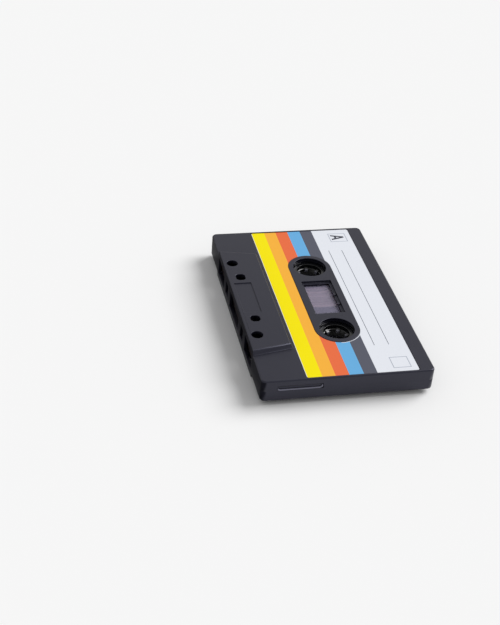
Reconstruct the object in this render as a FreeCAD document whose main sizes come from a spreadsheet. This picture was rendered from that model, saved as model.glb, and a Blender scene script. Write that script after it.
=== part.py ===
import FreeCAD, Part
import math
import os
import re
import Sketcher

# An audio cassette lies flat with side A up. X runs along its length, +Y points to its rear edge,
# and the front edge, where the tape is reached, is towards -Y. The origin is under its middle.

# Sizes in millimetres, angles in degrees
SIZES = {
    # outer form of the shell
    "cassette_length": 100.4,
    "cassette_depth": 63.8,
    "body_thickness": 8.7,
    "head_thickness": 12.0,
    "corner_radius": 2.0,
    "edge_bevel": 0.4,
    "side_wall": 1.5,
    "roof": 1.4,
    "front_wall": 1.05,
    # raised head along the front edge
    "head_length": 14.7,
    "head_rear_from_side": 19.3,
    "head_front_from_side": 16.4,
    "head_draft": 1.0,
    "head_roof": 1.5,
    "head_bevel": 0.35,
    "panel_length": 20.0,
    "panel_width": 6.7,
    "panel_from_front": 1.6,
    "panel_depth": 0.35,
    # holes for the drive of the player
    "hub_spacing": 42.5,
    "hub_behind_middle": 2.9,
    "hub_hole_radius": 6.6,
    "capstan_from_head_side": 9.45,
    "capstan_from_front": 3.65,
    "capstan_radius": 2.2,
    "locating_from_capstan": 10.25,
    "locating_from_front": 5.05,
    "locating_width": 3.7,
    "locating_long": 4.1,
    "locating_corner": 0.9,
    # openings of the front edge
    "centre_opening": 16.6,
    "centre_opening_height": 6.8,
    "guide_opening": 4.2,
    "guide_opening_height": 5.2,
    "guide_opening_spacing": 29.5,
    "pinch_opening": 11.8,
    "pinch_opening_height": 6.8,
    "pinch_opening_spacing": 53.2,
    # window and label
    "window_length": 22.2,
    "window_width": 11.9,
    "window_recess": 0.95,
    "window_ledge": 0.9,
    "pane_seat": 1.1,
    "pane_thickness": 0.3,
    "pane_fit": 0.1,
    "island_radius": 8.55,
    "label_from_side": 1.1,
    "label_from_head": 1.8,
    "label_from_rear": 5.8,
    "label_corner": 0.8,
    "label_thickness": 0.1,
    "label_recess": 0.3,
    "label_gap": 0.15,
    # scooped grip of one short side of each half, and tabs of the rear edge
    "scoop_length": 16.5,
    "scoop_from_front": 6.0,
    "scoop_height": 2.0,
    "scoop_depth": 0.5,
    "tab_from_side": 9.6,
    "tab_notch": 6.0,
    "tab_notch_height": 5.2,
    "tab_thickness": 1.0,
    "tab_slot": 0.35,
    "tab_box_depth": 4.2,
    "tab_box_wall": 0.8,
    # tape, hubs and slip sheets
    "tape_width": 3.8,
    "tape_gauge": 0.08,
    "tape_gap": 0.1,
    "tape_from_front": 1.35,
    "pack_gap": 0.2,
    "pack_fit": 0.02,
    "pack_wall_gap": 2.25,
    "hub_radius": 10.9,
    "hub_height": 3.9,
    "hub_ring_height": 4.8,
    "hub_ring_outer": 6.2,
    "hub_ring_inner": 4.9,
    "tooth_tip_radius": 3.6,
    "tooth_tip_height": 1.0,
    "tooth_foot_height": 2.6,
    "tooth_width": 1.3,
    "left_hub_turn": 0.0,
    "right_hub_turn": 35.0,
    "clamp_angle": 30.0,
    "clamp_gap_angle": 0.6,
    "clamp_depth": 1.5,
    "clamp_fit": 0.05,
    "liner_thickness": 0.1,
    "liner_gap": 0.4,
    "liner_front": 9.8,
    "liner_rear": 4.9,
    "liner_corner": 6.0,
    # ribs that hold the slip sheets
    "rib_width": 0.8,
    "long_rib_from_side": 14.2,
    "long_rib_from_rear": 10.0,
    "long_rib_from_head": 1.1,
    # guide rollers and their pins
    "roller_radius": 3.0,
    "roller_from_side": 6.0,
    "roller_height": 4.1,
    "roller_play": 0.1,
    "pin_radius": 1.0,
    "pin_running_fit": 0.05,
    "pin_seat_fit": 0.01,
    "pin_depth": 0.45,
    "boss_width": 4.4,
    # guide ribs, pressure pad, spring and shield in the head
    "inner_guide_spacing": 21.2,
    "outer_guide_spacing": 38.4,
    "guide_nose": 0.8,
    "guide_foot": 1.8,
    "guide_depth": 1.6,
    "guide_tape_gap": 0.1,
    "pad_length": 5.0,
    "pad_height": 3.6,
    "pad_thickness": 2.0,
    "pad_gap": 0.05,
    "spring_gauge": 0.15,
    "spring_height": 4.0,
    "spring_bow": 1.5,
    "spring_flat": 5.2,
    "spring_foot": 19.2,
    "spring_length": 21.6,
    "holder_width": 1.8,
    "holder_depth": 2.2,
    "holder_spacing": 20.8,
    "shield_length": 20.4,
    "shield_height": 6.8,
    "shield_gauge": 0.3,
    "shield_fit": 0.05,
    "shield_set_back": 0.8,
    "shield_fold": 1.2,
    "shield_fold_length": 17.0,
    # screws, driven from side B
    "rear_screw_from_side": 3.9,
    "rear_screw_from_rear": 3.0,
    "front_screw_from_side": 10.0,
    "front_screw_from_front": 11.4,
    "middle_screw_from_front": 11.7,
    "screw_radius": 1.0,
    "screw_length": 7.0,
    "screw_fit": 0.03,
    "screw_head_radius": 1.7,
    "screw_recess": 0.05,
    "pilot_play": 0.1,
    # how far cuts start outside a face, and how deep bosses root in a wall
    "overshoot": 1.0,
    "root": 0.3,
}

# Places worked out from the sizes, measured from the middle of the shell
HALF_LENGTH = "(cassette_length / 2)"
FRONT = "(-cassette_depth / 2)"
REAR = "(cassette_depth / 2)"
HALF_BODY = "(body_thickness / 2)"
HALF_HEAD = "(head_thickness / 2)"
ROOF = f"({HALF_BODY} - roof)"
HEAD_ROOF = f"({HALF_HEAD} - head_roof)"
HEAD_REAR = f"({FRONT} + head_length)"
HEAD_BASE = f"({HALF_BODY} - edge_bevel)"
HEAD_FRONT_X = f"({HALF_LENGTH} - head_front_from_side)"
HEAD_REAR_X = f"({HALF_LENGTH} - head_rear_from_side)"
HUB_X = "(hub_spacing / 2)"
HUB_Y = "hub_behind_middle"
CLEAR = "(tape_width / 2 + pack_gap)"
LINER_TOP = f"({CLEAR} + liner_thickness)"
LABEL_FLOOR = f"({HALF_BODY} - label_recess)"
LABEL_REAR = f"({REAR} - label_from_rear)"
LABEL_FRONT = f"({HEAD_REAR} + label_from_head)"
LABEL_X = f"({HALF_LENGTH} - label_from_side)"
SIGHT_X = "(window_length / 2 - window_ledge)"
SIGHT_Y = "(window_width / 2 - window_ledge)"
SEAT_X = f"({SIGHT_X} + pane_seat)"
SEAT_Y = f"({SIGHT_Y} + pane_seat)"
PLATE_X = f"({HUB_X} + island_radius)"
PLATE_Y = "island_radius"
RIB_REACH = f"({HALF_LENGTH} - long_rib_from_side)"
RIBS_Y = [f"({HEAD_REAR} + long_rib_from_head)", f"({REAR} - long_rib_from_rear)"]
TAB_X = f"({HALF_LENGTH} - tab_from_side)"
NEAREST_WALL = f"(min({REAR} - {HUB_Y}; {HALF_LENGTH} - {HUB_X}) - side_wall)"
FULL_PACK = f"({NEAREST_WALL} - pack_wall_gap)"
TAPE_Y = f"({FRONT} + tape_from_front)"
ROLLER_X = f"({HALF_LENGTH} - roller_from_side)"
ROLLER_Y = f"({TAPE_Y} + tape_gauge / 2 + tape_gap + roller_radius)"
ROLLER_SEAT = "(roller_height / 2 + roller_play)"
PIN_END = f"({ROOF} + pin_depth)"
PAD_FRONT = f"({TAPE_Y} + tape_gauge / 2 + pad_gap)"
PAD_BACK = f"({PAD_FRONT} + pad_thickness)"
SPRING_FOOT_Y = f"({PAD_BACK} + spring_bow)"
HOLDER_FRONT = f"({SPRING_FOOT_Y} + spring_gauge)"
SHIELD_Y = f"({HOLDER_FRONT} + shield_set_back)"
GUIDE_NOSE = f"({TAPE_Y} + tape_gauge / 2 + guide_tape_gap)"
CAPSTAN_X = f"({HEAD_FRONT_X} - capstan_from_head_side)"
CAPSTAN_Y = f"({FRONT} + capstan_from_front)"
LOCATING_X = f"({CAPSTAN_X} - locating_from_capstan)"
LOCATING_Y = f"({FRONT} + locating_from_front)"
REAR_SCREW_Y = f"({REAR} - rear_screw_from_rear)"
FRONT_SCREW_Y = f"({FRONT} + front_screw_from_front)"
MIDDLE_SCREW_Y = f"({FRONT} + middle_screw_from_front)"
REAR_SCREW_X = f"({HALF_LENGTH} - rear_screw_from_side)"
FRONT_SCREW_X = f"({HALF_LENGTH} - front_screw_from_side)"
REAR_SCREWS = [(REAR_SCREW_X, REAR_SCREW_Y), (f"-{REAR_SCREW_X}", REAR_SCREW_Y)]
FRONT_SCREWS = [(FRONT_SCREW_X, FRONT_SCREW_Y), (f"-{FRONT_SCREW_X}", FRONT_SCREW_Y)]
CORNER_SCREWS = REAR_SCREWS + FRONT_SCREWS
MIDDLE_SCREW = ("0", MIDDLE_SCREW_Y)
SCREWS = CORNER_SCREWS + [MIDDLE_SCREW]
BORE = "(screw_radius + screw_fit)"
HEAD_CONE = "(screw_head_radius - screw_radius)"
TINY = 0.01

doc = FreeCAD.newDocument("audio_cassette")


def size_sheet():
    """The sheet with one row for each size: its name, and its value under that name as alias."""
    table = doc.addObject("Spreadsheet::Sheet", "sizes")
    for row, (alias, value) in enumerate(SIZES.items(), 1):
        table.set(f"A{row}", alias)
        table.set(f"B{row}", str(value))
        table.setAlias(f"B{row}", alias)
    doc.recompute()
    return table


sheet = size_sheet()


def sized(expression):
    """The expression with each size read from the sheet."""
    return re.sub(r"[a-z_]+", lambda word: f"sizes.{word[0]}" if word[0] in SIZES else word[0], expression)


def number(expression):
    """The value of an expression at the sheet's sizes."""
    return float(sheet.evalExpression(sized(expression)))


def origin_part(body, role):
    """One plane or axis of a body's own origin."""
    return [part for part in body.Origin.OriginFeatures if part.Role == role][0]


def new_body(label, x="0", y="0", z=HALF_HEAD, turned=False, turn=None):
    """An empty body at a place given by expressions. A turned body has its outside down, as on side B."""
    body = doc.addObject("PartDesign::Body", label)
    body.Label = label
    if turned:
        body.Placement = FreeCAD.Placement(FreeCAD.Vector(), FreeCAD.Rotation(FreeCAD.Vector(0, 1, 0), 180))
    if turn:
        angle = number(turn)
        body.Placement = FreeCAD.Placement(FreeCAD.Vector(), FreeCAD.Rotation(FreeCAD.Vector(0, 0, 1), angle))
    for axis, place in zip("xyz", (x, y, z)):
        body.setExpression(f".Placement.Base.{axis}", sized(place))
    return body


class Drawing:
    """A sketch on a plane of its body, with its corners and radii bound to expressions."""

    def __init__(self, body, name, plane="XY_Plane", level="0"):
        self.body = body
        self.sketch = body.newObject("Sketcher::SketchObject", f"{body.Label}_{name}")
        self.sketch.AttachmentSupport = [(origin_part(body, plane), "")]
        self.sketch.MapMode = "FlatFace"
        self.sketch.setExpression(".AttachmentOffset.Base.z", sized(level))

    def bind(self, expression, kind, *targets):
        """One dimension of the sketch, bound to an expression."""
        index = self.sketch.addConstraint(Sketcher.Constraint(kind, *targets, number(expression)))
        self.sketch.setExpression(f"Constraints[{index}]", sized(expression))

    def pin(self, edge, point, x, y):
        """Fix one point of an edge at a place."""
        self.bind(x, "DistanceX", -1, 1, edge, point)
        self.bind(y, "DistanceY", -1, 1, edge, point)

    def join(self, edges):
        """Join each edge's end to the next one's start, all the way round."""
        for edge, following in zip(edges, edges[1:] + edges[:1]):
            self.sketch.addConstraint(Sketcher.Constraint("Coincident", edge, 2, following, 1))

    def polygon(self, corners):
        """A closed outline of straight edges through corners given as pairs of expressions."""
        points = [FreeCAD.Vector(number(x), number(y), 0) for x, y in corners]
        lines = [Part.LineSegment(a, b) for a, b in zip(points, points[1:] + points[:1])]
        edges = [self.sketch.addGeometry(line) for line in lines]
        self.join(edges)
        for edge, (x, y) in zip(edges, corners):
            self.pin(edge, 1, x, y)
        return self

    def rectangle(self, left, right, low, high):
        """A rectangle between four expressions."""
        return self.polygon([(left, low), (right, low), (right, high), (left, high)])

    def circle(self, x, y, radius):
        """A circle about a place."""
        centre = FreeCAD.Vector(number(x), number(y), 0)
        edge = self.sketch.addGeometry(Part.Circle(centre, FreeCAD.Vector(0, 0, 1), number(radius)))
        self.pin(edge, 3, x, y)
        self.bind(radius, "Radius", edge)
        return self

    def rounded(self, left, right, low, high, radius):
        """A rectangle with a quarter circle at each corner."""
        corners = [(right, low, -1, 1), (right, high, -1, -1), (left, high, 1, -1), (left, low, 1, 1)]
        edges, starts = [], []
        for index, (x, y, inward_x, inward_y) in enumerate(corners):
            along_x = (f"{x} + ({inward_x}) * {radius}", y)
            along_y = (x, f"{y} + ({inward_y}) * {radius}")
            start, end = (along_x, along_y) if index % 2 == 0 else (along_y, along_x)
            starts.append((start, end))
            centre = FreeCAD.Vector(number(along_x[0]), number(along_y[1]), 0)
            angle = (index - 1) * math.pi / 2
            ring = Part.Circle(centre, FreeCAD.Vector(0, 0, 1), number(radius))
            edges.append(self.sketch.addGeometry(Part.ArcOfCircle(ring, angle, angle + math.pi / 2)))
            self.bind(radius, "Radius", edges[-1])
        loop = []
        for index, arc in enumerate(edges):
            _, end = starts[index]
            start, _ = starts[(index + 1) % 4]
            line = Part.LineSegment(self.place(end), self.place(start))
            loop += [arc, self.sketch.addGeometry(line)]
        self.join(loop)
        for arc, (start, end) in zip(edges, starts):
            self.pin(arc, 1, *start)
            self.pin(arc, 2, *end)
        return self

    def place(self, pair):
        """The point at a pair of expressions."""
        return FreeCAD.Vector(number(pair[0]), number(pair[1]), 0)

    def stadium(self, x, y, radius):
        """Two half circles about (-x, y) and (x, y), joined by straight edges."""
        top, bottom = number(f"{y} + {radius}"), number(f"{y} - {radius}")
        right, left = number(x), number(f"-{x}")
        arcs = []
        for centre_x, start in ((x, -math.pi / 2), (f"-{x}", math.pi / 2)):
            ring = Part.Circle(self.place((centre_x, y)), FreeCAD.Vector(0, 0, 1), number(radius))
            arcs.append(self.sketch.addGeometry(Part.ArcOfCircle(ring, start, start + math.pi)))
        upper = Part.LineSegment(FreeCAD.Vector(right, top, 0), FreeCAD.Vector(left, top, 0))
        lower = Part.LineSegment(FreeCAD.Vector(left, bottom, 0), FreeCAD.Vector(right, bottom, 0))
        self.join([arcs[0], self.sketch.addGeometry(upper), arcs[1], self.sketch.addGeometry(lower)])
        for arc, centre_x in zip(arcs, (x, f"-{x}")):
            self.pin(arc, 3, centre_x, y)
            self.bind(radius, "Radius", arc)
            self.bind(centre_x, "DistanceX", -1, 1, arc, 1)
            self.bind(centre_x, "DistanceX", -1, 1, arc, 2)
        return self

    def made(self, kind, verb):
        """A feature of the body on this sketch."""
        feature = self.body.newObject(f"PartDesign::{kind}", f"{self.sketch.Name}_{verb}")
        feature.Profile = self.sketch
        self.sketch.Visibility = False
        return feature

    def pad(self, length, both_ways=False):
        """Material above the sketch, or half of it on either side."""
        feature = self.made("Pad", "pad")
        feature.Midplane = both_ways
        feature.setExpression("Length", sized(length))
        return feature

    def pocket(self, depth, rising=False, both_ways=False):
        """A cut below the sketch, above it where it rises, or half of it on either side."""
        feature = self.made("Pocket", "pocket")
        feature.Reversed = rising
        feature.Midplane = both_ways
        feature.setExpression("Length", sized(depth))
        return feature

    def turned(self, kind="Revolution", angle=None):
        """The sketch turned about the body's upright axis, all round or by an angle shared to both sides."""
        feature = self.made(kind, "turn")
        feature.ReferenceAxis = (self.sketch, ["V_Axis"])
        feature.Angle = 360
        if angle:
            feature.Midplane = True
            feature.setExpression("Angle", sized(angle))
        return feature


def dress(body, name, size, test):
    """A bevel of the body on each edge that passes the test."""
    doc.recompute()
    base = body.Tip
    names = [f"Edge{k}" for k, edge in enumerate(base.Shape.Edges, 1) if test(edge)]
    feature = body.newObject("PartDesign::Chamfer", f"{body.Label}_{name}")
    feature.Base = (base, names)
    feature.setExpression("Size", sized(size))
    return feature


def at_level(edge, level):
    """Whether an edge lies flat at a height."""
    box = edge.BoundBox
    return abs(box.ZMin - number(level)) < TINY and abs(box.ZMax - number(level)) < TINY


def shell_plate(body):
    """The broad thin half of the shell, bevelled round the outside."""
    outline = Drawing(body, "plate")
    outline.rounded(f"-{HALF_LENGTH}", HALF_LENGTH, FRONT, REAR, "corner_radius").pad(HALF_BODY)
    dress(body, "rim_bevel", "edge_bevel", lambda edge: at_level(edge, HALF_BODY))


def head_outline(body, name, level, grown):
    """The outline of the raised head, wider by its draft at the foot."""
    front_x, rear_x = f"({HEAD_FRONT_X} + {grown})", f"({HEAD_REAR_X} + {grown})"
    rear_y = f"({HEAD_REAR} + {grown})"
    corners = [(f"-{front_x}", FRONT), (front_x, FRONT), (rear_x, rear_y), (f"-{rear_x}", rear_y)]
    return Drawing(body, name, level=level).polygon(corners)


def raised_head(body):
    """The thick part of the half along the front edge: a trapezoid with drafted walls and a bevelled top."""
    foot = head_outline(body, "head_foot", HEAD_BASE, "head_draft")
    top = head_outline(body, "head_top", HALF_HEAD, "0")
    loft = foot.made("AdditiveLoft", "loft")
    loft.Sections = [top.sketch]
    dress(body, "head_bevel", "head_bevel", lambda edge: at_level(edge, HALF_HEAD))


def hollow(body):
    """The space inside the half, and the deeper space under the head."""
    wall_x = f"({HALF_LENGTH} - side_wall)"
    inside = Drawing(body, "inside")
    inside.rectangle(f"-{wall_x}", wall_x, f"{FRONT} + front_wall", f"{REAR} - side_wall")
    inside.pocket(ROOF, rising=True)
    front_x, rear_x = f"({HEAD_FRONT_X} - side_wall)", f"({HEAD_REAR_X} - side_wall)"
    low, high = f"{FRONT} + front_wall", f"{HEAD_REAR} - side_wall"
    corners = [(f"-{front_x}", low), (front_x, low), (rear_x, high), (f"-{rear_x}", high)]
    Drawing(body, "head_inside").polygon(corners).pocket(HEAD_ROOF, rising=True)


def hub_plate(body):
    """The thicker plate behind the island, the hub holes through it, and two bars for the slip sheet."""
    back = Drawing(body, "plate_back", level=CLEAR)
    back.rectangle(f"-{PLATE_X}", PLATE_X, f"{HUB_Y} - {PLATE_Y}", f"{HUB_Y} + {PLATE_Y}")
    back.pad(f"{ROOF} - {CLEAR} + root")
    holes = Drawing(body, "hub_holes")
    for x in (f"-{HUB_X}", HUB_X):
        holes.circle(x, HUB_Y, "hub_hole_radius")
    holes.pocket(HALF_HEAD, rising=True)
    bars = Drawing(body, "rib_bars", level=LINER_TOP)
    for middle in RIBS_Y:
        low, high = f"{middle} - rib_width / 2", f"{middle} + rib_width / 2"
        bars.rectangle(f"-{RIB_REACH}", RIB_REACH, low, high)
    bars.pad(f"{ROOF} - {LINER_TOP} + root")


def window(body):
    """The window: an outer recess, a ledge, a sight opening, and the seat of the pane behind it."""
    recess = Drawing(body, "window_recess", level=HALF_BODY)
    half_width = "window_width / 2"
    low, high = f"{HUB_Y} - {half_width}", f"{HUB_Y} + {half_width}"
    recess.rectangle("-window_length / 2", "window_length / 2", low, high).pocket("window_recess")
    sight = Drawing(body, "window_sight")
    sight.rectangle(f"-{SIGHT_X}", SIGHT_X, f"{HUB_Y} - {SIGHT_Y}", f"{HUB_Y} + {SIGHT_Y}")
    sight.pocket(HALF_HEAD, rising=True)
    seat = Drawing(body, "pane_seat", level=CLEAR)
    seat.rectangle(f"-{SEAT_X}", SEAT_X, f"{HUB_Y} - {SEAT_Y}", f"{HUB_Y} + {SEAT_Y}")
    seat.pocket("pane_thickness", rising=True)


def label_recess(body):
    """The shallow recess for the label, round the raised island of hub holes and window."""
    recess = Drawing(body, "label_recess", level=HALF_BODY)
    half = f"({LABEL_X} + label_gap)"
    low, high = f"{LABEL_FRONT} - label_gap", f"{LABEL_REAR} + label_gap"
    recess.rectangle(f"-{half}", half, low, high)
    recess.stadium(HUB_X, HUB_Y, "island_radius")
    recess.pocket("label_recess")


def cut_corners(left, right, low, high, cut):
    """The corners of a rectangle with each corner cut off at a slant."""
    return [
        (f"{left} + {cut}", low),
        (f"{right} - {cut}", low),
        (right, f"{low} + {cut}"),
        (right, f"{high} - {cut}"),
        (f"{right} - {cut}", high),
        (f"{left} + {cut}", high),
        (left, f"{high} - {cut}"),
        (left, f"{low} + {cut}"),
    ]


def drive_holes(body, long_side):
    """The round capstan holes and the eight-sided locating holes, one of them wider, on the long side."""
    capstans = Drawing(body, "capstan_holes")
    for x in (f"-{CAPSTAN_X}", CAPSTAN_X):
        capstans.circle(x, CAPSTAN_Y, "capstan_radius")
    capstans.pocket(HALF_HEAD, rising=True)
    locating = Drawing(body, "locating_holes")
    for side in (-1, 1):
        width = "locating_long" if side == long_side else "locating_width"
        middle = f"({side} * {LOCATING_X})"
        left, right = f"({middle} - {width} / 2)", f"({middle} + {width} / 2)"
        low, high = f"({LOCATING_Y} - locating_width / 2)", f"({LOCATING_Y} + locating_width / 2)"
        locating.polygon(cut_corners(left, right, low, high, "locating_corner"))
    locating.pocket(HALF_HEAD, rising=True)


def head_panel(body):
    """The bare sunk panel in the middle of the head."""
    panel = Drawing(body, "panel", level=HALF_HEAD)
    low = f"{FRONT} + panel_from_front"
    panel.rectangle("-panel_length / 2", "panel_length / 2", low, f"{low} + panel_width")
    panel.pocket("panel_depth")


def front_openings(body):
    """The openings of the front edge: one in the middle, and two pairs beside it."""
    openings = [
        ("centre", "0", "centre_opening", "centre_opening_height"),
        ("left_guide", "-guide_opening_spacing / 2", "guide_opening", "guide_opening_height"),
        ("right_guide", "guide_opening_spacing / 2", "guide_opening", "guide_opening_height"),
        ("left_pinch", "-pinch_opening_spacing / 2", "pinch_opening", "pinch_opening_height"),
        ("right_pinch", "pinch_opening_spacing / 2", "pinch_opening", "pinch_opening_height"),
    ]
    for name, middle, width, height in openings:
        opening = Drawing(body, f"{name}_opening")
        left, right = f"{middle} - {width} / 2", f"{middle} + {width} / 2"
        opening.rectangle(left, right, f"{FRONT} - overshoot", f"{FRONT} + front_wall")
        opening.pocket(f"{height} / 2", rising=True)


def side_scoop(body):
    """The scooped grip of one short side, under a slanted top, with the other half as its ledge."""
    middle = f"({FRONT} + scoop_from_front + scoop_length / 2)"
    scoop = Drawing(body, "side_scoop", "XZ_Plane", level=f"-{middle}")
    floor, outside = f"({HALF_LENGTH} - scoop_depth)", f"({HALF_LENGTH} + overshoot)"
    slant = [(HALF_LENGTH, "scoop_height"), (floor, "scoop_height - scoop_depth")]
    scoop.polygon([(floor, "0"), (outside, "0"), (outside, "scoop_height")] + slant)
    scoop.pocket("scoop_length", both_ways=True)


def write_tabs(body):
    """The two boxed notches of the rear edge, one of them closed by this half's break-off tab."""
    boxes = Drawing(body, "tab_boxes")
    notches = Drawing(body, "tab_notches")
    for side in (-1, 1):
        left = f"{side} * {TAB_X} - tab_notch / 2"
        right = f"{side} * {TAB_X} + tab_notch / 2"
        low = f"{REAR} - tab_box_depth"
        boxes.rectangle(f"{left} - tab_box_wall", f"{right} + tab_box_wall", low, f"{REAR} - side_wall / 2")
        notches.rectangle(left, right, f"{low} + tab_box_wall", f"{REAR} + overshoot")
    boxes.pad(f"{ROOF} + root")
    notches.pocket("tab_notch_height / 2", rising=True)
    tab = Drawing(body, "tab", level="tab_slot - tab_notch_height / 2")
    left, right = f"-{TAB_X} - tab_notch / 2", f"-{TAB_X} + tab_notch / 2"
    low, high = f"{REAR} - tab_slot - tab_thickness", f"{REAR} - tab_slot"
    tab.rectangle(f"{left} + tab_slot", f"{right} - tab_slot", low, high)
    tab.pad("tab_notch_height - tab_slot + root")


def square(drawing, x, y, width):
    """A square of a drawing about a place."""
    drawing.rectangle(f"{x} - {width} / 2", f"{x} + {width} / 2", f"{y} - {width} / 2", f"{y} + {width} / 2")


def roller_bosses(body):
    """The blocks at either end of the rollers, and the seats of their pins."""
    bosses = Drawing(body, "roller_bosses", level=ROLLER_SEAT)
    seats = Drawing(body, "pin_seats")
    for x in (f"-{ROLLER_X}", ROLLER_X):
        square(bosses, x, ROLLER_Y, "boss_width")
        seats.circle(x, ROLLER_Y, "pin_radius + pin_seat_fit")
    bosses.pad(f"{ROOF} - {ROLLER_SEAT} + root")
    seats.pocket(PIN_END, rising=True)


def head_posts(body):
    """The tapered guide ribs behind the tape, and the holders of the spring and shield."""
    guides = Drawing(body, "guide_ribs")
    rear = f"{GUIDE_NOSE} + guide_depth"
    for middle in (
        "-outer_guide_spacing / 2",
        "-inner_guide_spacing / 2",
        "inner_guide_spacing / 2",
        "outer_guide_spacing / 2",
    ):
        nose = [(f"{middle} - guide_nose / 2", GUIDE_NOSE), (f"{middle} + guide_nose / 2", GUIDE_NOSE)]
        foot = [(f"{middle} + guide_foot / 2", rear), (f"{middle} - guide_foot / 2", rear)]
        guides.polygon(nose + foot)
    guides.pad(f"{HEAD_ROOF} + root")
    holders = Drawing(body, "holders")
    for side in (-1, 1):
        middle = f"{side} * holder_spacing / 2"
        left, right = f"{middle} - holder_width / 2", f"{middle} + holder_width / 2"
        holders.rectangle(left, right, HOLDER_FRONT, f"{HOLDER_FRONT} + holder_depth")
    holders.pad(f"{HEAD_ROOF} + root")
    slot = Drawing(body, "shield_slot")
    half = "(shield_length / 2 + shield_fit)"
    slot.rectangle(f"-{half}", half, f"{SHIELD_Y} - shield_fit", f"{SHIELD_Y} + shield_gauge + shield_fit")
    slot.pocket("shield_height / 2 + shield_fit", rising=True)


def screw_bosses(body, driven):
    """The five screw bosses: bored right through and countersunk where the screws are driven, else blind."""
    bosses = Drawing(body, "corner_bosses")
    for x, y in CORNER_SCREWS:
        square(bosses, x, y, "boss_width")
    bosses.pad(f"{ROOF} + root")
    middle = Drawing(body, "middle_boss")
    square(middle, *MIDDLE_SCREW, "boss_width")
    middle.pad(f"{HEAD_ROOF} + root")
    bores = Drawing(body, "screw_bores")
    for x, y in SCREWS:
        bores.circle(x, y, BORE)
    if not driven:
        bores.pocket(f"screw_length - {HALF_BODY} + screw_recess + {HEAD_CONE} + pilot_play", rising=True)
        return
    bores.pocket(HALF_HEAD, rising=True)
    dress(body, "screw_seats", f"{HEAD_CONE} + screw_recess", is_bore_mouth)


def is_bore_mouth(edge):
    """Whether an edge is the outer end of a screw bore."""
    if not hasattr(edge.Curve, "Radius") or abs(edge.Curve.Radius - number(BORE)) > TINY:
        return False
    centre = edge.Curve.Center
    in_middle = abs(centre.x - number(MIDDLE_SCREW[0])) < TINY
    return at_level(edge, HALF_HEAD if in_middle else HALF_BODY)


def half_shell(label, turned):
    """One half of the shell, made with its outside up. Side B is the same moulding turned over."""
    body = new_body(label, turned=turned)
    shell_plate(body)
    raised_head(body)
    hollow(body)
    hub_plate(body)
    window(body)
    label_recess(body)
    drive_holes(body, long_side=1 if turned else -1)
    head_panel(body)
    front_openings(body)
    side_scoop(body)
    write_tabs(body)
    roller_bosses(body)
    head_posts(body)
    screw_bosses(body, driven=turned)
    return body


def pane(label, turned):
    """The clear pane in its seat behind the window."""
    body = new_body(label, turned=turned)
    x, y = f"({SEAT_X} - pane_fit)", f"({SEAT_Y} - pane_fit)"
    outline = Drawing(body, "outline", level=CLEAR)
    outline.rectangle(f"-{x}", x, f"{HUB_Y} - {y}", f"{HUB_Y} + {y}").pad("pane_thickness")
    return body


def paper_label(label):
    """The label, cut out round the island of hub holes and window."""
    body = new_body(label)
    outline = Drawing(body, "outline", level=LABEL_FLOOR)
    outline.rounded(f"-{LABEL_X}", LABEL_X, LABEL_FRONT, LABEL_REAR, "label_corner")
    outline.stadium(HUB_X, HUB_Y, "island_radius + label_gap")
    outline.pad("label_thickness")
    return body


def slip_sheet(label, turned):
    """The sheet between tape and shell, cut out for the hub plate and the front screw bosses."""
    body = new_body(label, turned=turned)
    x = f"({HALF_LENGTH} - side_wall - liner_gap)"
    low, high = f"({FRONT} + liner_front)", f"({REAR} - liner_rear)"
    corners = [
        (f"-{x}", low),
        (x, low),
        (x, f"{high} - liner_corner"),
        (f"{x} - liner_corner", high),
        (f"liner_corner - {x}", high),
        (f"-{x}", f"{high} - liner_corner"),
    ]
    Drawing(body, "outline", level=CLEAR).polygon(corners).pad("liner_thickness")
    middle = Drawing(body, "middle_cut", level=CLEAR)
    cut_x, cut_y = f"({PLATE_X} + liner_gap)", f"({PLATE_Y} + liner_gap)"
    middle.rectangle(f"-{cut_x}", cut_x, f"{HUB_Y} - {cut_y}", f"{HUB_Y} + {cut_y}")
    middle.pocket("liner_thickness", rising=True)
    notches = Drawing(body, "boss_notches", level=CLEAR)
    half = "(boss_width / 2 + liner_gap)"
    for boss_x, boss_y in FRONT_SCREWS + [MIDDLE_SCREW]:
        left, right = f"{boss_x} - {half}", f"{boss_x} + {half}"
        notches.rectangle(left, right, f"{low} - overshoot", f"{boss_y} + {half}")
    notches.pocket("liner_thickness", rising=True)
    return body


def hub(label, x, turn):
    """A toothed hub: the disc that the tape winds on, and the raised ring with six drive teeth."""
    body = new_body(label, x, HUB_Y, turn=turn)
    ring, disc = "(hub_ring_height / 2)", "(hub_height / 2)"
    upper = [
        ("hub_ring_inner", ring),
        ("hub_ring_outer", ring),
        ("hub_ring_outer", disc),
        ("hub_radius", disc),
    ]
    lower = [(radius, f"-{height}") for radius, height in reversed(upper)]
    Drawing(body, "section", "XZ_Plane").polygon((upper + lower)[::-1]).turned()
    notch = Drawing(body, "clamp_notch", "XZ_Plane")
    notch.rectangle("hub_radius - clamp_depth", "hub_radius + overshoot", f"-{ring}", ring)
    notch.turned("Groove", "clamp_angle + 2 * clamp_gap_angle")
    tooth = Drawing(body, "tooth", "XZ_Plane")
    foot, tip = "tooth_foot_height / 2", "tooth_tip_height / 2"
    foot_radius = "(hub_ring_inner + hub_ring_outer) / 2"
    below = [("tooth_tip_radius", f"-{tip}"), (foot_radius, f"-{foot}")]
    above = [(foot_radius, foot), ("tooth_tip_radius", tip)]
    tooth.polygon(below + above)
    pad = tooth.pad("tooth_width", both_ways=True)
    pattern = body.newObject("PartDesign::PolarPattern", f"{label}_teeth")
    pattern.Originals = [pad]
    pattern.Axis = (origin_part(body, "Z_Axis"), [""])
    pattern.Angle = 360
    pattern.Occurrences = 6
    body.Tip = pattern
    return body


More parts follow.
